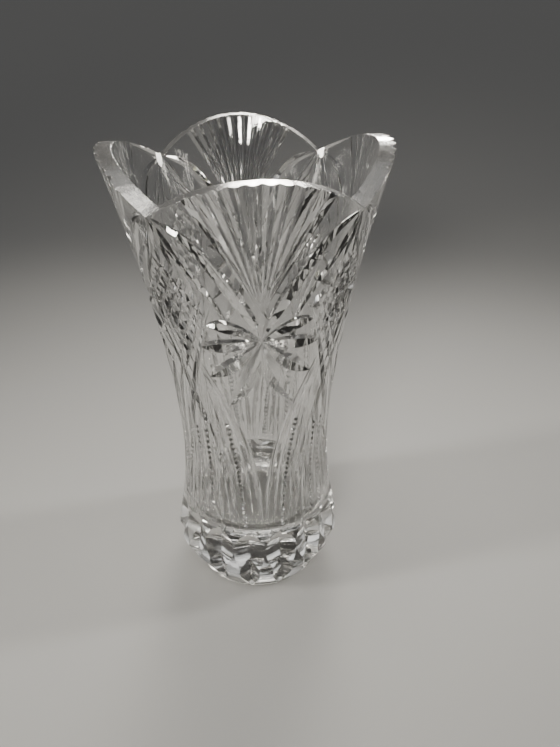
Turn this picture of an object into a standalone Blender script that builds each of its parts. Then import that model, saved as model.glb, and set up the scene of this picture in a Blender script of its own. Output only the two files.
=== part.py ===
"""Cut crystal vase: one thick-walled body of clear glass, turned from a profile and then cut.

The rim has four round lobes that meet in notches. Each lobe carries a fan of mitres over a ten-ray
star, each notch stands over a field of small diamonds and a tall pointed arch of flutes, and the
foot is a ring of pointed lugs over a plain round base. Metres, +Z up, origin at the middle of the flat base.
Angles are degrees round the axis, counted from the front lobe, which faces -Y.
"""

import math

import bmesh
import bpy
from mathutils import Matrix, Vector

# Driving sizes.
HEIGHT = 0.305
RIM_RADIUS = 0.0765
WAIST_RADIUS = 0.0505
WAIST_Z = 0.117
COLLAR_RADIUS = 0.0546
COLLAR_Z = 0.0635
FOOT_RADIUS = 0.0615
FOOT_WIDEST_Z = 0.027
BASE_RADIUS = 0.0510
BASE_CHAMFER = 0.0015
RIM_WALL = 0.0085
WAIST_WALL = 0.0095
FLOOR_Z = 0.050
FLOOR_CORNER = 0.016

LOBES = 4
NOTCH_Z = 0.284
FAN_Z = 0.240
STAR_Z = 0.2205
FAN_STEP = 5.3
FAN_HALF = 5
LUGS = 16

# How the turned blank is divided.
TURN_STEPS = 60
FLARE_POWER = 1.75
FLARE_POINTS = 5
COLLAR_POINTS = 2
CORNER_POINTS = 3
SPARE_RIM = 0.004

MERGE = 0.00001
CUT_LIFT = 0.008
HALF_LOBE = 180 / LOBES


def outer_radius(z):
    """The uncut outer surface above the foot: a narrow waist that flares to the rim."""
    if z >= WAIST_Z:
        share = (z - WAIST_Z) / (HEIGHT - WAIST_Z)
        return WAIST_RADIUS + (RIM_RADIUS - WAIST_RADIUS) * share**FLARE_POWER
    share = (WAIST_Z - z) / (WAIST_Z - COLLAR_Z)
    return WAIST_RADIUS + (COLLAR_RADIUS - WAIST_RADIUS) * share**2


def foot_radius(z):
    """The uncut foot: it spreads from the collar to its widest ring, then tapers to the base."""
    if z >= FOOT_WIDEST_Z:
        share = (COLLAR_Z - z) / (COLLAR_Z - FOOT_WIDEST_Z)
        return COLLAR_RADIUS + (FOOT_RADIUS - COLLAR_RADIUS) * share
    return BASE_RADIUS + (FOOT_RADIUS - BASE_RADIUS) * z / FOOT_WIDEST_Z


def surface_radius(z):
    return outer_radius(z) if z >= COLLAR_Z else foot_radius(z)


def wall(z):
    share = min(max((z - WAIST_Z) / (HEIGHT - WAIST_Z), 0), 1)
    return WAIST_WALL + (RIM_WALL - WAIST_WALL) * share


def surface(angle, z):
    """A point on the uncut outside, and the direction straight out of the glass there."""
    turn = math.radians(angle)
    out = Vector((math.sin(turn), -math.cos(turn), 0))
    step = 0.001
    slope = (surface_radius(z + step) - surface_radius(z - step)) / (2 * step)
    normal = (out - slope * Vector((0, 0, 1))).normalized()
    return out * surface_radius(z) + Vector((0, 0, z)), normal


def steps_between(first, last, count):
    return [first + (last - first) * i / count for i in range(count + 1)]


def blank_profile():
    """Half of the section, from the middle of the floor up the inside and down the outside.

    It stands a little taller than the vase, because the lobes are cut out of it.
    """
    bowl = WAIST_RADIUS - WAIST_WALL
    profile = [(0, FLOOR_Z)]
    for turn in steps_between(-90, 0, CORNER_POINTS):
        turn = math.radians(turn)
        x = bowl - FLOOR_CORNER + FLOOR_CORNER * math.cos(turn)
        profile.append((x, FLOOR_Z + FLOOR_CORNER + FLOOR_CORNER * math.sin(turn)))
    flare = steps_between(WAIST_Z, HEIGHT + SPARE_RIM, FLARE_POINTS)
    profile += [(outer_radius(z) - wall(z), z) for z in flare]
    profile += [(outer_radius(z), z) for z in reversed(flare)]
    collar = steps_between(WAIST_Z, COLLAR_Z, COLLAR_POINTS)[1:]
    profile += [(outer_radius(z), z) for z in collar]
    profile.append((FOOT_RADIUS, FOOT_WIDEST_Z))
    profile.append((foot_radius(BASE_CHAMFER), BASE_CHAMFER))
    profile.append((BASE_RADIUS - BASE_CHAMFER, 0))
    profile.append((0, 0))
    return profile


def new_collection(name):
    collection = bpy.data.collections.new(name)
    bpy.context.scene.collection.children.link(collection)
    return collection


def new_object(name, mesh, collection):
    obj = bpy.data.objects.new(name, mesh)
    collection.objects.link(obj)
    return obj


def make_blank(collection):
    mesh = bpy.data.meshes.new("crystal_body")
    # Starting half a step round keeps the blank's edges off the planes where lobes and cuts meet.
    start = math.pi / TURN_STEPS
    points = [(x * math.cos(start), x * math.sin(start), z) for x, z in blank_profile()]
    mesh.from_pydata(points, [(i, i + 1) for i in range(len(points) - 1)], [])
    obj = new_object("crystal_body", mesh, collection)
    turn = obj.modifiers.new("turned blank", "SCREW")
    turn.axis = "Z"
    turn.steps = TURN_STEPS
    turn.render_steps = TURN_STEPS
    turn.use_merge_vertices = True
    turn.merge_threshold = MERGE
    return obj


def hide(obj):
    obj.hide_render = True
    obj.display_type = "WIRE"


def hull(name, points, collection):
    """A cutter: the closed convex body round some points."""
    bm = bmesh.new()
    for point in points:
        bm.verts.new(point)
    bmesh.ops.convex_hull(bm, input=bm.verts)
    bmesh.ops.triangulate(bm, faces=bm.faces)
    bmesh.ops.recalc_face_normals(bm, faces=bm.faces)
    mesh = bpy.data.meshes.new(name)
    bm.to_mesh(mesh)
    bm.free()
    hide(new_object(name, mesh, collection))


def cut(name, collection, start, end, width, depth, at=(0.5,), sides=2):
    """A leaf-shaped cut from start to end, each (angle, z). It is a sharp V with 2 sides, rounder with more.

    at lists the places along it, as shares of its length, where it is as wide and as deep as it gets.
    """
    points = [surface(*start)[0], surface(*end)[0]]
    along = (points[1] - points[0]).normalized()
    for share in at:
        middle, normal = surface(
            start[0] + (end[0] - start[0]) * share, start[1] + (end[1] - start[1]) * share
        )
        across = normal.cross(along).normalized() * width / 2
        for turn in steps_between(0, math.pi, sides):
            points.append(middle + across * math.cos(turn) - normal * depth * math.sin(turn))
        points.append(middle + normal * CUT_LIFT)
    hull(name, points, collection)


def cut_lobe(lobe, collection):
    """The fan on one lobe and the star under it."""
    middle = lobe * 360 / LOBES
    for i in range(-FAN_HALF, FAN_HALF + 1):
        # The rim end lies past the rim, so that the mitre runs out through it.
        cut(f"fan_{lobe}_{i + FAN_HALF}", collection, (middle + i * 0.2, FAN_Z),
            (middle + i * FAN_STEP * 1.35, HEIGHT + 0.030), 0.0050, 0.0030, at=(0.68,))
    for side in (-1, 1):
        half = f"{lobe}_{'left' if side < 0 else 'right'}"
        star = (middle, STAR_Z)
        cut(f"border_{half}", collection, star, (middle + side * 43.5, NOTCH_Z + 0.002),
            0.0075, 0.0030, at=(0.35, 0.6))
        cut(f"ray_upper_{half}", collection, star, (middle + side * 24, 0.2335), 0.0060, 0.0026, at=(0.7,))
        cut(f"ray_side_{half}", collection, star, (middle + side * 29, 0.2145), 0.0070, 0.0028, at=(0.6,))
        cut(f"ray_lower_{half}", collection, star, (middle + side * 27, 0.1950), 0.0070, 0.0028, at=(0.6,))
        cut(f"ray_long_{half}", collection, star, (middle + side * 20, 0.1730), 0.0085, 0.0032, at=(0.6,))


def cut_corner(corner, collection):
    """Under one notch: the diamond field, the crossing mitres, and the flutes of the arch."""
    middle = (corner + 0.5) * 360 / LOBES
    cut(f"arch_middle_{corner}", collection, (middle, 0.168), (middle, 0.060), 0.0050, 0.0022,
        at=(0.5, 0.9), sides=4)
    for side in (-1, 1):
        half = f"{corner}_{'left' if side < 0 else 'right'}"
        cut(f"crossing_{half}", collection, (middle + side * 21.5, 0.243), (middle - side * 17, 0.130),
            0.0045, 0.0024, at=(0.3, 0.7))
        cut(f"arch_edge_{half}", collection, (middle + side * 9, 0.204), (middle + side * 44, 0.064),
            0.0060, 0.0026, at=(0.35, 0.8))
        cut(f"flute_inner_{half}", collection, (middle + side * 8, 0.186), (middle + side * 15, 0.058),
            0.0070, 0.0024, at=(0.5, 0.85), sides=4)
        cut(f"flute_outer_{half}", collection, (middle + side * 15, 0.190), (middle + side * 31, 0.058),
            0.0070, 0.0024, at=(0.5, 0.85), sides=4)
        for row in range(3):
            top = (middle + side * (3 + 6 * row), 0.272 - 0.0105 * row)
            foot = (middle - side * (17 - 5.5 * row), 0.236 - 0.012 * row)
            cut(f"diamond_{half}_{row}", collection, top, foot, 0.0042, 0.0020, at=(0.3, 0.7))


def cut_foot(collection):
    """Two pointed cuts under each other, a wide and a steep one, leave each lug standing beside them."""
    for i in range(LUGS):
        middle = (i + 0.5) * 360 / LUGS
        cut(f"lug_upper_{i}", collection, (middle, COLLAR_Z + 0.001), (middle, 0.024),
            0.0215, 0.0046, at=(0.3, 0.5))
        cut(f"lug_lower_{i}", collection, (middle, 0.048), (middle, 0.003), 0.0140, 0.0050, at=(0.5,))


def arch_outline():
    """The side view of a lobe's rim: an arc through the notches, in flats as wide as the flutes."""
    notch_x = outer_radius(NOTCH_Z) * math.sin(math.radians(HALF_LOBE))
    rise = HEIGHT - NOTCH_Z
    arc_radius = (notch_x**2 + rise**2) / (2 * rise)
    beyond = 0.9 * arc_radius
    flats = [RIM_RADIUS * math.sin(math.radians(i * FAN_STEP)) for i in range(FAN_HALF + 1)]
    across = flats + [notch_x, beyond]
    across = [-x for x in reversed(across[1:])] + across
    outline = [(x, HEIGHT - arc_radius + math.sqrt(arc_radius**2 - x**2)) for x in across]
    return outline + [(beyond, -0.010), (-beyond, -0.010)]


def arch_prism(name, collection, turn):
    """The arch outline, pulled through the whole vase and turned about the axis."""
    curve = bpy.data.curves.new(name, "CURVE")
    curve.dimensions = "2D"
    curve.fill_mode = "BOTH"
    curve.extrude = 1.5 * RIM_RADIUS
    outline = arch_outline()
    spline = curve.splines.new("POLY")
    spline.points.add(len(outline) - 1)
    for point, (x, z) in zip(spline.points, outline):
        point.co = (x, z, 0, 1)
    spline.use_cyclic_u = True
    drawn = new_object(name + "_outline", curve, collection)
    graph = bpy.context.evaluated_depsgraph_get()
    mesh = bpy.data.meshes.new_from_object(drawn.evaluated_get(graph))
    bpy.data.objects.remove(drawn)
    stand = Matrix.Rotation(math.radians(turn), 4, "Z") @ Matrix.Rotation(math.radians(90), 4, "X")
    bm = bmesh.new()
    bm.from_mesh(mesh)
    bmesh.ops.remove_doubles(bm, verts=bm.verts, dist=MERGE)
    bmesh.ops.transform(bm, matrix=stand, verts=bm.verts)
    bmesh.ops.recalc_face_normals(bm, faces=bm.faces)
    bm.to_mesh(mesh)
    bm.free()
    obj = new_object(name, mesh, collection)
    hide(obj)
    return obj


def boolean(obj, name, operation, other):
    modifier = obj.modifiers.new(name, "BOOLEAN")
    modifier.operation = operation
    modifier.solver = "EXACT"
    if isinstance(other, bpy.types.Collection):
        modifier.operand_type = "COLLECTION"
        modifier.collection = other
    else:
        modifier.object = other


def clear_glass():
    material = bpy.data.materials.new("clear crystal")
    material.use_nodes = True
    shader = material.node_tree.nodes["Principled BSDF"]
    shader.inputs["Base Color"].default_value = (0.97, 0.98, 0.98, 1)
    shader.inputs["Metallic"].default_value = 0.0
    shader.inputs["Roughness"].default_value = 0.03
    shader.inputs["IOR"].default_value = 1.55
    shader.inputs["Transmission Weight"].default_value = 1.0
    return material


def main():
    for obj in list(bpy.data.objects):
        bpy.data.objects.remove(obj)
    parts = new_collection("cut_crystal_vase")
    cutters = new_collection("vase_cutters")
    envelope = new_collection("vase_rim_envelope")

    body = make_blank(parts)
    rim = arch_prism("rim_arch_front_back", envelope, 0)
    boolean(rim, "lobes", "UNION", arch_prism("rim_arch_sides", envelope, 90))
    boolean(body, "scalloped rim", "INTERSECT", rim)

    for i in range(LOBES):
        cut_lobe(i, cutters)
        cut_corner(i, cutters)
    cut_foot(cutters)
    boolean(body, "cuts", "DIFFERENCE", cutters)

    body.data.materials.append(clear_glass())
    bpy.context.view_layer.update()


main()
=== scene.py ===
"""Looks for the cut crystal vase: one seamless body of cut glass on a pale floor in soft studio light.

The cuts are made on a flat slab that stands for half a lobe of the wall. Its X is the angle from the
lobe's middle in degrees, its Y is the height in millimetres and its Z is minus the depth into the
glass in millimetres. The cut slab is then wrapped round the vase, mirrored and turned into four lobes,
and the bowl and the base are grown from its open edges. Lengths are millimetres until the wrap.
"""

import math

import bmesh
import bpy
from mathutils import Matrix, Vector


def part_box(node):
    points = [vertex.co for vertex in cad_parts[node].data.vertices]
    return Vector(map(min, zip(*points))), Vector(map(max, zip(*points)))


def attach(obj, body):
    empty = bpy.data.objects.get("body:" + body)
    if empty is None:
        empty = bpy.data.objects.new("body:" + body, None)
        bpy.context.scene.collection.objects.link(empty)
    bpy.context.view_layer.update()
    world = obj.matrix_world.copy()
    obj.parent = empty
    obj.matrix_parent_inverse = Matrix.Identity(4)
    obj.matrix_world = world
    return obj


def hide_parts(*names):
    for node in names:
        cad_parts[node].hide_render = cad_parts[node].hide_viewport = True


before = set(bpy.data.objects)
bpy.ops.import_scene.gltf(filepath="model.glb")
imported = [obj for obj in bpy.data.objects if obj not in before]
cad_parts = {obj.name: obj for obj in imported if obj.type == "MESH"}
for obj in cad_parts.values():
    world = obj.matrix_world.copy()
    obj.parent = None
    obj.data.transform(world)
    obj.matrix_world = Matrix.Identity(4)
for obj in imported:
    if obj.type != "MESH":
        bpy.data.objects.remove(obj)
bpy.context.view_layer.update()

NODE = "crystal_body"
MM = 0.001

# The wall. Its height and its rim come from the frame, and the rest repeats the CAD model's sizes.
LOW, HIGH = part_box(NODE)
HEIGHT = (HIGH[2] - LOW[2]) / MM
RIM_RADIUS = (HIGH[0] - LOW[0]) / 2 / MM
WAIST_RADIUS = 50.5
WAIST_Z = 117.0
FLARE_POWER = 1.75
COLLAR_RADIUS = 54.6
COLLAR_Z = 63.5
FOOT_RADIUS = 61.5
FOOT_WIDEST_Z = 27.0
BASE_RADIUS = 51.0
RIM_WALL = 8.5
WAIST_WALL = 9.5
FLOOR_Z = 50.0
FLOOR_CORNER = 16.0

# The foot's ground edge, a little finer than the CAD model's.
FOOT_CHAMFER = 1.2

# The pattern. Steps and the lug are in degrees round the axis.
LOBES = 4
HALF_LOBE = 180 / LOBES
NOTCH_Z = 284.0
RIM_FLATS = (29.5, 33, 36.5, 40)
FAN_Z = 240.0
FAN_STEP = 5.3
FAN_HALF = 5
FAN_SPREAD = 1.16
STAR_Z = 220.5
FLUTE_SHARE = 0.95
COLLAR_GROOVE_Z = 61.5
LUG = 22.5

# The slab: its thickness, how far it runs past the wall's foot, rim and sides, and how far cutters
# stand out of it.
SLAB = 9.0
SPARE_FOOT = 6.0
SPARE_RIM = 12.0
SPARE_SIDE = 1.2
LIFT = 1.0
CLEAR = 2.0
ABOVE_RIM = 40.0
SOLVER = "EXACT"

# The mesh. Its grid, and distances under which points count as one or a groove as closed.
GRID_DEGREES = 2.25
GRID_Z = 5.0
BOWL_ROWS = 22
CORNER_ROWS = 6
GROOVE_TIP = 1e-3
PLANE_SNAP = 1e-5
ON_BACK = 1e-3
SLIVER = 1e-4
WELD = 2e-6
SHARP = 20.0

# The glass. Lengths here are metres, as shaders count them.
CLEAR_TINT = (0.99, 0.99, 0.985, 1)
IOR = 1.56
SMOKE_COLOR = (0.32, 0.32, 0.27, 1)
SMOKE_DENSITY = 3.5
RIPPLE_SCALE = 260
RIPPLE_HEIGHT = 0.0004
EDGE_RADIUS = 0.0004
EDGE_SAMPLES = 4

# The floor, in metres.
FLOOR_HALF = 14
FLOOR_GAP = 0.0002
FLOOR_COLOR = (0.115, 0.115, 0.112, 1)
FLOOR_ROUGHNESS = 0.8

# The room round the vase: how bright it is at each sine of the height above the horizon.
SKY = ((0.0, 0.085), (0.15, 0.055), (0.55, 0.02), (0.78, 0.03), (0.84, 1.2), (0.93, 1.8), (1.0, 1.8))

# The lamps: name, place and size in metres, watts, and the beam's spread in degrees.
LAMP_COLOR = (1.0, 0.955, 0.88)
LAMPS = (
    ("top", (-0.1, 0.0, 1.1), (0.3, 0.3), 0.9, 70),
    ("front", (-0.6, -1.5, 0.9), (0.7, 0.25), 4.4, 40),
    ("left", (-1.2, -0.1, 0.6), (0.14, 0.8), 3.2, 40),
    ("right", (1.2, 0.1, 0.6), (0.14, 0.8), 2.8, 40),
    ("back", (0.3, 1.3, 0.75), (1.0, 0.14), 4.4, 40),
)

# The camera: its direction from the vase's middle in degrees, its distance in metres and its turns.
CAMERA_AZIMUTH = -4.33
CAMERA_ELEVATION = 35.96
CAMERA_DISTANCE = 0.376
CAMERA_PAN = -2.65
CAMERA_TILT = 0.72
CAMERA_ROLL = 1.77
CAMERA_LENS = 27.04
CAMERA_SENSOR = 36
CAMERA_NEAR = 0.01


def outer_radius(z):
    """The uncut outside, foot included."""
    if z >= WAIST_Z:
        share = (z - WAIST_Z) / (HEIGHT - WAIST_Z)
        return WAIST_RADIUS + (RIM_RADIUS - WAIST_RADIUS) * share**FLARE_POWER
    if z >= COLLAR_Z:
        share = (WAIST_Z - z) / (WAIST_Z - COLLAR_Z)
        return WAIST_RADIUS + (COLLAR_RADIUS - WAIST_RADIUS) * share**2
    if z >= FOOT_WIDEST_Z:
        share = (COLLAR_Z - z) / (COLLAR_Z - FOOT_WIDEST_Z)
        return COLLAR_RADIUS + (FOOT_RADIUS - COLLAR_RADIUS) * share
    return BASE_RADIUS + (FOOT_RADIUS - BASE_RADIUS) * max(z, 0) / FOOT_WIDEST_Z


def wall(z):
    """The wall's thickness."""
    share = min(max((z - WAIST_Z) / (HEIGHT - WAIST_Z), 0), 1)
    return WAIST_WALL + (RIM_WALL - WAIST_WALL) * share


def mm_per_degree(z):
    """How long one degree round the axis is on the outside."""
    return outer_radius(z) * math.pi / 180


def bezier(points, count):
    """Points along a curve with one or two handles, each (angle, z)."""
    curve = []
    order = len(points) - 1
    for i in range(count + 1):
        t = i / count
        weights = [math.comb(order, k) * t**k * (1 - t) ** (order - k) for k in range(order + 1)]
        curve.append(tuple(sum(w * p[axis] for w, p in zip(weights, points)) for axis in (0, 1)))
    return curve


def point_along(curve, share):
    """The point at a share of the curve, carried on straight past either end."""
    place = share * (len(curve) - 1)
    i = min(max(int(math.floor(place)), 0), len(curve) - 2)
    return tuple(a + (b - a) * (place - i) for a, b in zip(curve[i], curve[i + 1]))


def flat_groove(curve, width, depth, peak=0.5, sides=2, count=14, taper=False):
    """A cutter for the slab along a curve, as rings of points from one end to the other.

    A leaf is deepest at the share peak, and its depth falls off to both ends as under a cutting
    wheel. A taper starts from nothing and is at its deepest at the end of the curve. Two sides make
    a sharp V, more make a round flute, and the slope of a V stays the same all along it.
    """
    if taper:
        first, last = -LIFT / depth, 1
    else:
        spill = math.sqrt(1 + LIFT / depth)
        first, last = peak - peak * spill, peak + (1 - peak) * spill
    rings = []
    for i in range(count + 1):
        even = i / count
        eased = 0.5 - 0.5 * math.cos(math.pi * even)
        share = first + (last - first) * (even if taper else eased)
        reach = (share - peak) / (peak if share < peak else 1 - peak)
        here = depth * (share if taper else 1 - reach**2)
        nudge = 0.01
        a, z = point_along(curve, share)
        a0, z0 = point_along(curve, share - nudge)
        a1, z1 = point_along(curve, share + nudge)
        scale = mm_per_degree(z)
        along_a, along_z = (a1 - a0) * scale, z1 - z0
        size = math.hypot(along_a, along_z)
        side_a, side_z = -along_z / size / scale, along_a / size
        rise = max((here + LIFT) / depth, 0)
        half = width / 2 * (rise if sides == 2 else math.sqrt(rise))
        if half < GROOVE_TIP:
            rings.append([(a, z, LIFT)])
            continue
        ring = []
        for k in range(sides + 1):
            across = 1 - 2 * k / sides
            down = (here + LIFT) * (1 - across**2)
            ring.append((a + side_a * across * half, z + side_z * across * half, LIFT - down))
        rings.append(ring)
    return rings


def mesh_from_rings(name, rings):
    """A closed mesh from rings of points. A ring may be one point, which closes that end."""
    bm = bmesh.new()
    made = [[bm.verts.new(point) for point in ring] for ring in rings]
    for first, second in zip(made, made[1:]):
        count = max(len(first), len(second))
        for k in range(count):
            n = (k + 1) % count
            corners = [first[k % len(first)], first[n % len(first)], second[n % len(second)],
                       second[k % len(second)]]
            distinct = list(dict.fromkeys(corners))
            if len(distinct) > 2:
                bm.faces.new(distinct)
    for ring in (made[0], made[-1]):
        if len(ring) > 2:
            bm.faces.new(ring)
    bmesh.ops.triangulate(bm, faces=bm.faces)
    bmesh.ops.recalc_face_normals(bm, faces=bm.faces)
    mesh = bpy.data.meshes.new(name)
    bm.to_mesh(mesh)
    bm.free()
    return mesh


def slab_box():
    """The uncut slab, a little wider than half a lobe, so that it can be trimmed to its planes."""
    left, right = -SPARE_SIDE, HALF_LOBE + SPARE_SIDE
    low, high = -SPARE_FOOT, HEIGHT + SPARE_RIM
    corners = ((left, low), (right, low), (right, high), (left, high))
    rings = [[(a, z, depth) for a, z in corners] for depth in (-SLAB, 0)]
    return mesh_from_rings("slab", rings)


def rim_outline(inside):
    """The rim's edge on the outside or the inside of the wall, as (angle, z), in straight flats."""
    points = []
    stops = [FAN_STEP * i for i in range(FAN_HALF + 1)] + [*RIM_FLATS, HALF_LOBE]
    rounds_until_settled = 30
    for angle in stops:
        z = HEIGHT
        for _ in range(rounds_until_settled):
            radius = outer_radius(z) - (wall(z) if inside else 0)
            z = 0.5 * (z + arch_z(radius * math.sin(math.radians(angle))))
        points.append((angle, z))
    return points


def arch_z(x):
    """The height of the rim's arch at a distance to the side of the lobe's middle."""
    notch_x = outer_radius(NOTCH_Z) * math.sin(math.radians(HALF_LOBE))
    rise = HEIGHT - NOTCH_Z
    arc = (notch_x**2 + rise**2) / (2 * rise)
    return HEIGHT - arc + math.sqrt(max(arc**2 - x**2, 0))


def rim_cutter():
    """What is ground away above the rim: its edge lies higher inside, as the cut runs level."""
    rings = []
    for depth, inside in ((-SLAB - CLEAR, True), (CLEAR, False)):
        edge = rim_outline(inside)
        mirrored = [(-a, z) for a, z in reversed(edge[1:3])]
        beyond = [(2 * HALF_LOBE - a, z) for a, z in reversed(edge[-3:-1])]
        top = [(beyond[-1][0], HEIGHT + ABOVE_RIM), (mirrored[0][0], HEIGHT + ABOVE_RIM)]
        rings.append([(a, z, depth) for a, z in mirrored + edge + beyond + top])
    return mesh_from_rings("rim", rings)


def lobe_cuts():
    """The fan, the border mitres and the star, centred on the lobe's middle."""
    cuts = []
    for i in range(-2, FAN_HALF + 1):
        top = FAN_STEP * i * FAN_SPREAD
        curve = bezier([(0.15 * i, FAN_Z - 1), (top, HEIGHT + 6)], 12)
        cuts.append(flat_groove(curve, width=6.2, depth=3.3, taper=True, count=8))
    star = (0, STAR_Z)
    border = [star, (3.2, 231), (8.3, 241.5), (12.8, 251), (18.5, 261.5), (24.7, 272), (31, 279.5),
              (38, 283.5), (42.5, 285.5)]
    # The star's rays from the top down: handle, tip, width, depth, where deepest, and steps.
    rays = [
        ((15, 232.5), (27, 229.5), 8.6, 2.7, 0.64, (16, 14)),
        ((16, 218.5), (33, 213.5), 9.2, 2.8, 0.62, (16, 14)),
        ((13, 204), (30.5, 193), 9.4, 3.3, 0.58, (16, 14)),
        ((1.2, 199), (21, 172), 10.4, 3.8, 0.5, (18, 18)),
    ]
    for side in (-1, 1):
        def mirrored(points):
            return [(side * a, z) for a, z in points]
        cuts.append(flat_groove(smooth(mirrored(border)), width=7.6, depth=3.0, peak=0.36, count=22))
        for handle, tip, width, depth, peak, (curve_steps, cut_steps) in rays:
            ray = bezier(mirrored([star, handle, tip]), curve_steps)
            cuts.append(flat_groove(ray, width, depth, peak=peak, count=cut_steps))
    return cuts


def smooth(points):
    """A finer path through the points, for a cut that curves."""
    path = []
    steps = 4
    for i in range(len(points) - 1):
        p0 = points[max(i - 1, 0)]
        p1, p2 = points[i], points[i + 1]
        p3 = points[min(i + 2, len(points) - 1)]
        for k in range(steps):
            t = k / steps
            path.append(tuple(
                0.5 * (2 * b + (c - a) * t + (2 * a - 5 * b + 4 * c - d) * t**2
                       + (3 * b - a - 3 * c + d) * t**3)
                for a, b, c, d in zip(p0, p1, p2, p3)
            ))
    path.append(points[-1])
    return path


def corner_cuts():
    """The diamonds, the crossing mitres and the arch of flutes. Angles here count from the notch."""
    cuts = []

    def add(points, width, depth, mirror=True, **options):
        for side in ((1, -1) if mirror else (1,)):
            curve = [(HALF_LOBE - side * a, z) for a, z in points]
            angles = [a for a, z in curve]
            if max(angles) < -CLEAR or min(angles) > HALF_LOBE + CLEAR:
                continue
            cuts.append(flat_groove(curve, width, depth, **options))

    # The burst of short rays under the notch.
    add(bezier([(0, 287), (0, 260)], 6), 3.6, 1.7, mirror=False, peak=0.6)
    add(bezier([(0.6, 286), (6.5, 261)], 6), 3.6, 1.7, peak=0.6)
    add(bezier([(1.6, 285), (12.5, 263.5)], 6), 3.6, 1.7, peak=0.6)
    # The diamond field and the mitre that edges it.
    mitres = 6
    for i in range(1, mitres + 1):
        share = i / (mitres + 1)
        top = (2 + 19 * share, 268 - 25 * share)
        foot = (-21 + 21 * share, 243 - 61 * share)
        add(bezier([top, foot], 8), 4.4, 1.9, count=10)
    add(bezier([(3, 273), (19, 258), (29, 232)], 12), 3.8, 1.9)
    # The thick crossing mitre, and the double line outside the arch.
    add(bezier([(22, 242), (-17, 135), (-27.5, 64)], 24), 4.6, 2.4, peak=0.42, count=24)
    add(bezier([(9, 205), (46, 137), (43.7, 62)], 20), 2.6, 1.5, count=20)
    add(bezier([(7.6, 201), (42.8, 138), (42.3, 62)], 20), 1.6, 0.9, count=20)
    # The flutes, from the outermost to the middle: curve, pitch, depth and number of sides.
    flutes = [
        ([(11, 199), (38.5, 140), (39.6, 61)], 6.3, 1.5, 6),
        ([(15, 187), (30, 135), (35.2, 61)], 4.2, 1.0, 4),
        ([(12, 183), (22, 135), (28.4, 61)], 5.0, 1.3, 5),
        ([(6, 171), (15.5, 125), (22.6, 61)], 5.2, 1.3, 5),
        ([(3, 177), (11.5, 130), (15.0, 58)], 6.8, 1.7, 6),
    ]
    for points, pitch, depth, sides in flutes:
        add(bezier(points, 20), pitch * FLUTE_SHARE, depth, sides=sides, peak=0.6, count=18)
    add(bezier([(2, 161), (8, 115), (9, 60)], 16), 3.0, 0.9, sides=3, peak=0.6, count=14)
    add(bezier([(0.8, 151), (2, 115), (2.4, 60)], 16), 2.4, 0.7, sides=3, peak=0.6, count=14)
    # The notches that make a row of beads along two of the ribs.
    outer_rib = bezier([(19, 172), (28, 125), (31.8, 66)], 24)
    inner_rib = bezier([(4.4, 150), (4.6, 110), (5.4, 66)], 24)
    add_beads(add, outer_rib, top=157, foot=70, pitch=3.8)
    add_beads(add, inner_rib, top=146, foot=68, pitch=4.4)
    return cuts


def add_beads(add, rib, top, foot, pitch, length=3.4, depth=1.7):
    """Short notches straight across a rib, from the height top down to foot."""
    count = int((top - foot) / pitch)
    slant = 0.35
    for i in range(count + 1):
        z = top - (top - foot) * i / count
        k = min(range(len(rib) - 1), key=lambda n: abs(rib[n][1] - z))
        (a0, z0), (a1, z1) = rib[k], rib[k + 1]
        angle = a0 + (a1 - a0) * (z - z0) / (z1 - z0)
        half = length / mm_per_degree(z) / 2
        add([(angle - half, z + slant), (angle + half, z - slant)], pitch * FLUTE_SHARE, depth, count=6)


def foot_cuts():
    """A wide and a steep pointed cut for each lug, and the groove that ends the flutes."""
    past = 4
    groove = [(-past, COLLAR_GROOVE_Z), (HALF_LOBE + past, COLLAR_GROOVE_Z)]
    cuts = [flat_groove(groove, width=2.8, depth=1.1, peak=0.5, count=10)]
    for i in range(-1, 3):
        angle = (i + 0.5) * LUG
        cuts.append(flat_groove([(angle, 65), (angle, 23)], width=23.0, depth=4.3, peak=0.42, count=14))
        cuts.append(flat_groove([(angle, 50), (angle, 3)], width=14.5, depth=5.2, peak=0.5, count=14))
    return cuts


def cut_slab():
    """The slab with every cut taken out of it, as one mesh."""
    made = []

    def link(mesh, collection):
        obj = bpy.data.objects.new(mesh.name, mesh)
        collection.objects.link(obj)
        made.append(obj)
        return obj

    workshop = bpy.data.collections.new("workshop")
    cutters = bpy.data.collections.new("slab_cutters")
    bpy.context.scene.collection.children.link(workshop)
    workshop.children.link(cutters)
    slab = link(slab_box(), workshop)
    for i, rings in enumerate(lobe_cuts() + corner_cuts() + foot_cuts()):
        link(mesh_from_rings(f"cut_{i}", rings), cutters)
    link(rim_cutter(), cutters)
    cut = slab.modifiers.new("cuts", "BOOLEAN")
    cut.operation = "DIFFERENCE"
    cut.solver = SOLVER
    cut.operand_type = "COLLECTION"
    cut.collection = cutters
    graph = bpy.context.evaluated_depsgraph_get()
    result = bpy.data.meshes.new_from_object(slab.evaluated_get(graph))
    for obj in made:
        mesh = obj.data
        bpy.data.objects.remove(obj)
        bpy.data.meshes.remove(mesh)
    bpy.data.collections.remove(cutters)
    bpy.data.collections.remove(workshop)
    return result


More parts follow.
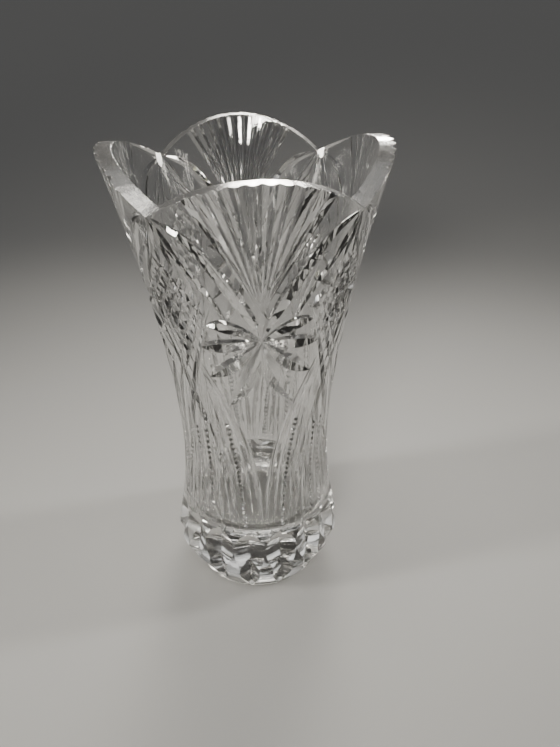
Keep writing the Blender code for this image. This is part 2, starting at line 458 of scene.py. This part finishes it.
def half_lobe():
    """The cut slab, trimmed to half a lobe and divided finely enough to bend."""
    mesh = cut_slab()
    bm = bmesh.new()
    bm.from_mesh(mesh)
    bpy.data.meshes.remove(mesh)

    def split(axis, at, **clear):
        normal = Vector((0, 0, 0))
        normal[axis] = 1
        geometry = list(bm.verts) + list(bm.edges) + list(bm.faces)
        bmesh.ops.bisect_plane(bm, geom=geometry, dist=PLANE_SNAP, plane_co=normal * at,
                               plane_no=normal, **clear)

    split(0, 0, clear_inner=True)
    split(0, HALF_LOBE, clear_outer=True)
    split(1, FOOT_CHAMFER, clear_inner=True)
    back = [face for face in bm.faces if all(v.co.z < -SLAB + ON_BACK for v in face.verts)]
    bmesh.ops.delete(bm, geom=back, context="FACES")
    steps = round(HALF_LOBE / GRID_DEGREES)
    for i in range(1, steps):
        split(0, HALF_LOBE * i / steps)
    for i in range(1, int(HEIGHT / GRID_Z) + 1):
        split(1, i * GRID_Z)
    for z in (FOOT_WIDEST_Z, COLLAR_Z):
        split(1, z)
    bmesh.ops.triangulate(bm, faces=bm.faces, quad_method="BEAUTY", ngon_method="BEAUTY")
    bmesh.ops.dissolve_degenerate(bm, dist=SLIVER, edges=bm.edges)
    return bm


def wrap(a, z, depth):
    """A point of the slab on the vase, in metres."""
    radius = outer_radius(z) - depth * wall(z) / SLAB
    turn = math.radians(a)
    return Vector((radius * math.sin(turn), -radius * math.cos(turn), z)) * MM


def ring_on(bm, loop, place):
    """A new ring of vertices, one for each vertex of a loop, joined to it by quads."""
    ring = [bm.verts.new(place(v.co)) for v in loop]
    for k in range(len(loop)):
        n = (k + 1) % len(loop)
        bm.faces.new([loop[k], loop[n], ring[n], ring[k]])
    return ring


def close_ring(bm, ring, z):
    """A fan of triangles from a ring to a point on the axis."""
    middle = bm.verts.new((0, 0, z))
    for k in range(len(ring)):
        bm.faces.new([ring[k], ring[(k + 1) % len(ring)], middle])


def open_loops(bm):
    """The loops of open edges, each as a list of vertices in order."""
    edges = dict.fromkeys(e for e in bm.edges if len(e.link_faces) == 1)
    loops = []
    while edges:
        edge, _ = edges.popitem()
        loop = list(edge.verts)
        while True:
            following = next((e for e in loop[-1].link_edges if e in edges), None)
            if following is None:
                break
            edges.pop(following)
            loop.append(following.other_vert(loop[-1]))
        if loop[0] is loop[-1]:
            loop.pop()
        loops.append(loop)
    return loops


def inner_point(angle, z):
    """A point of the inside, in metres."""
    radius = outer_radius(z) - wall(z)
    return Vector((radius * math.cos(angle), radius * math.sin(angle), z)) * MM


def grow_bowl(bm, loop):
    """The smooth inside, from the rim's inner edge down to the floor."""
    tops = [(math.atan2(v.co.y, v.co.x), v.co.z / MM) for v in loop]
    bottom = FLOOR_Z + FLOOR_CORNER
    flat = WAIST_RADIUS - WAIST_WALL - FLOOR_CORNER

    def next_ring(ring, points):
        places = iter(points)
        return ring_on(bm, ring, lambda co: next(places))

    def circle(radius, z):
        return [Vector((radius * math.cos(angle), radius * math.sin(angle), z)) for angle, _ in tops]

    ring = loop
    for row in range(1, BOWL_ROWS + 1):
        share = row / BOWL_ROWS
        ring = next_ring(ring, [inner_point(angle, z + (bottom - z) * share) for angle, z in tops])
    for row in range(1, CORNER_ROWS + 1):
        turn = math.pi / 2 * row / CORNER_ROWS
        radius = flat + FLOOR_CORNER * math.cos(turn)
        z = FLOOR_Z + FLOOR_CORNER - FLOOR_CORNER * math.sin(turn)
        ring = next_ring(ring, circle(radius * MM, z * MM))
    for share in (0.66, 0.33):
        ring = next_ring(ring, circle(flat * share * MM, FLOOR_Z * MM))
    close_ring(bm, ring, FLOOR_Z * MM)


def close_base(bm, loop):
    """The foot's ground edge and its flat underside."""
    def shrunk(share, drop):
        return lambda co: Vector((co.x * share, co.y * share, co.z - drop * MM))
    ring = ring_on(bm, loop, shrunk(1 - FOOT_CHAMFER / BASE_RADIUS, FOOT_CHAMFER))
    for share in (0.8, 0.7, 0.5):
        ring = ring_on(bm, ring, shrunk(share, 0))
    close_ring(bm, ring, 0)


def vase_mesh():
    """The whole vase: the half lobe eight times over, closed by the bowl and the base."""
    sector = half_lobe()
    bm = bmesh.new()
    for lobe in range(LOBES):
        turn = Matrix.Rotation(2 * math.pi * lobe / LOBES, 3, "Z")
        for side in (1, -1):
            placed = {}
            for v in sector.verts:
                point = wrap(v.co.x, v.co.y, -v.co.z)
                point.x *= side
                placed[v] = bm.verts.new(turn @ point)
            for face in sector.faces:
                corners = [placed[v] for v in face.verts]
                bm.faces.new(corners if side > 0 else corners[::-1])
    sector.free()
    bmesh.ops.remove_doubles(bm, verts=bm.verts, dist=WELD)
    loops = sorted(open_loops(bm), key=lambda loop: sum(v.co.z for v in loop) / len(loop))
    close_base(bm, loops[0])
    grow_bowl(bm, loops[-1])
    bmesh.ops.triangulate(bm, faces=bm.faces)
    bmesh.ops.recalc_face_normals(bm, faces=bm.faces)
    mesh = bpy.data.meshes.new("cut_glass_body")
    bm.to_mesh(mesh)
    bm.free()
    return mesh


def crystal(name, roughness, spread, bump, clear):
    """Lead crystal: clear, faintly grey where it is thick, with its cut edges polished soft.

    Its roughness wanders up by the spread, and a bump of the same ripple unsettles its reflections.
    """
    material = bpy.data.materials.new(name)
    material.use_nodes = True
    nodes, links = material.node_tree.nodes, material.node_tree.links
    shader = nodes["Principled BSDF"]
    shader.inputs["Base Color"].default_value = CLEAR_TINT
    shader.inputs["IOR"].default_value = IOR
    shader.inputs["Transmission Weight"].default_value = clear
    shader.inputs["Roughness"].default_value = roughness

    absorption = nodes.new("ShaderNodeVolumeAbsorption")
    absorption.inputs["Color"].default_value = SMOKE_COLOR
    absorption.inputs["Density"].default_value = SMOKE_DENSITY
    links.new(absorption.outputs[0], nodes["Material Output"].inputs["Volume"])

    place = nodes.new("ShaderNodeTexCoord")
    ripple = nodes.new("ShaderNodeTexNoise")
    ripple.inputs["Scale"].default_value = RIPPLE_SCALE
    ripple.inputs["Detail"].default_value = 3
    links.new(place.outputs["Object"], ripple.inputs["Vector"])
    rough = nodes.new("ShaderNodeMapRange")
    rough.inputs["From Min"].default_value = 0.35
    rough.inputs["From Max"].default_value = 0.75
    rough.inputs["To Min"].default_value = roughness
    rough.inputs["To Max"].default_value = roughness + spread
    links.new(ripple.outputs["Fac"], rough.inputs["Value"])
    links.new(rough.outputs["Result"], shader.inputs["Roughness"])
    edge = nodes.new("ShaderNodeBevel")
    edge.samples = EDGE_SAMPLES
    edge.inputs["Radius"].default_value = EDGE_RADIUS
    swell = nodes.new("ShaderNodeBump")
    swell.inputs["Strength"].default_value = bump
    swell.inputs["Distance"].default_value = RIPPLE_HEIGHT
    links.new(ripple.outputs["Fac"], swell.inputs["Height"])
    links.new(edge.outputs["Normal"], swell.inputs["Normal"])
    links.new(swell.outputs["Normal"], shader.inputs["Normal"])
    return material


def is_ground(face):
    """Whether a face is on the rim's flat-ground edge or on the foot's ring of wear."""
    x, y, z = (abs(part) / MM for part in face.center)
    if z < 0.9 * FOOT_CHAMFER:
        wear_from = 0.82 * BASE_RADIUS
        return math.hypot(x, y) > wear_from
    faces_up = face.normal.z > 0.5
    above_notches = z > NOTCH_Z - 2
    return faces_up and above_notches and abs(z - arch_z(min(x, y))) < 0.5


def build_vase():
    """The vase as one piece, its ground faces in the second material."""
    mesh = vase_mesh()
    vase = bpy.data.objects.new("cut_glass_body", mesh)
    bpy.context.scene.collection.objects.link(vase)
    mesh.shade_smooth()
    mesh.set_sharp_from_angle(angle=math.radians(SHARP))
    mesh.materials.append(crystal("cut crystal", roughness=0.0, spread=0.03, bump=0.05, clear=0.995))
    mesh.materials.append(crystal("ground rim", roughness=0.16, spread=0.12, bump=0.12, clear=0.965))
    for face in mesh.polygons:
        if is_ground(face):
            face.material_index = 1
    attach(vase, "root")
    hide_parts(NODE)


def floor():
    """A plain pale floor just under the foot."""
    mesh = bpy.data.meshes.new("floor")
    corners = [(x * FLOOR_HALF, y * FLOOR_HALF, 0) for x, y in ((-1, -1), (1, -1), (1, 1), (-1, 1))]
    mesh.from_pydata(corners, [], [(0, 1, 2, 3)])
    obj = bpy.data.objects.new("floor", mesh)
    obj.location.z = -FLOOR_GAP
    bpy.context.scene.collection.objects.link(obj)
    material = bpy.data.materials.new("pale floor")
    material.use_nodes = True
    shader = material.node_tree.nodes["Principled BSDF"]
    shader.inputs["Base Color"].default_value = FLOOR_COLOR
    shader.inputs["Roughness"].default_value = FLOOR_ROUGHNESS
    mesh.materials.append(material)


def softbox(name, place, size, power, spread):
    """A soft lamp that faces the middle of the vase."""
    lamp = bpy.data.lights.new(name, "AREA")
    lamp.shape = "RECTANGLE"
    lamp.size, lamp.size_y = size
    lamp.energy = power
    lamp.color = LAMP_COLOR
    lamp.spread = math.radians(spread)
    obj = bpy.data.objects.new(name, lamp)
    bpy.context.scene.collection.objects.link(obj)
    obj.location = place
    aim = Vector((0, 0, HEIGHT * MM / 2)) - Vector(place)
    obj.rotation_euler = aim.to_track_quat("-Z", "Y").to_euler()


def studio():
    """Soft boxes round the vase in a dim room whose ceiling is bright, so the cuts show dark and light."""
    world = bpy.data.worlds.new("studio")
    world.use_nodes = True
    nodes, links = world.node_tree.nodes, world.node_tree.links
    place = nodes.new("ShaderNodeTexCoord")
    split = nodes.new("ShaderNodeSeparateXYZ")
    ramp = nodes.new("ShaderNodeValToRGB")
    links.new(place.outputs["Generated"], split.inputs[0])
    links.new(split.outputs["Z"], ramp.inputs["Fac"])
    links.new(ramp.outputs["Color"], nodes["Background"].inputs["Color"])
    stops = ramp.color_ramp.elements
    while len(stops) < len(SKY):
        stops.new(0.5)
    for stop, (at, grey) in zip(stops, SKY):
        stop.position = at
        stop.color = (grey, grey, grey, 1)
    bpy.context.scene.world = world
    for name, spot, size, power, spread in LAMPS:
        softbox(name, spot, size, power, spread)


def camera():
    """A wide phone lens held close above the rim, looking down at the vase."""
    turn, lift = math.radians(CAMERA_AZIMUTH), math.radians(CAMERA_ELEVATION)
    middle = Vector((0, 0, HEIGHT * MM / 2))
    out = Vector((math.sin(turn) * math.cos(lift), -math.cos(turn) * math.cos(lift), math.sin(lift)))
    ahead = -out
    right = Vector((math.cos(turn), math.sin(turn), 0))
    up = right.cross(ahead)
    spin = Matrix.Rotation(math.radians(CAMERA_PAN), 3, up)
    ahead, right = spin @ ahead, spin @ right
    spin = Matrix.Rotation(math.radians(CAMERA_TILT), 3, right)
    ahead, up = spin @ ahead, spin @ up
    spin = Matrix.Rotation(math.radians(CAMERA_ROLL), 3, ahead)
    right, up = spin @ right, spin @ up
    data = bpy.data.cameras.new("camera")
    data.lens = CAMERA_LENS
    data.sensor_width = CAMERA_SENSOR
    data.clip_start = CAMERA_NEAR
    obj = bpy.data.objects.new("camera", data)
    bpy.context.scene.collection.objects.link(obj)
    place = Matrix((right, up, -ahead)).transposed().to_4x4()
    place.translation = middle + out * CAMERA_DISTANCE
    obj.matrix_world = place
    bpy.context.scene.camera = obj


camera()
build_vase()
floor()
studio()
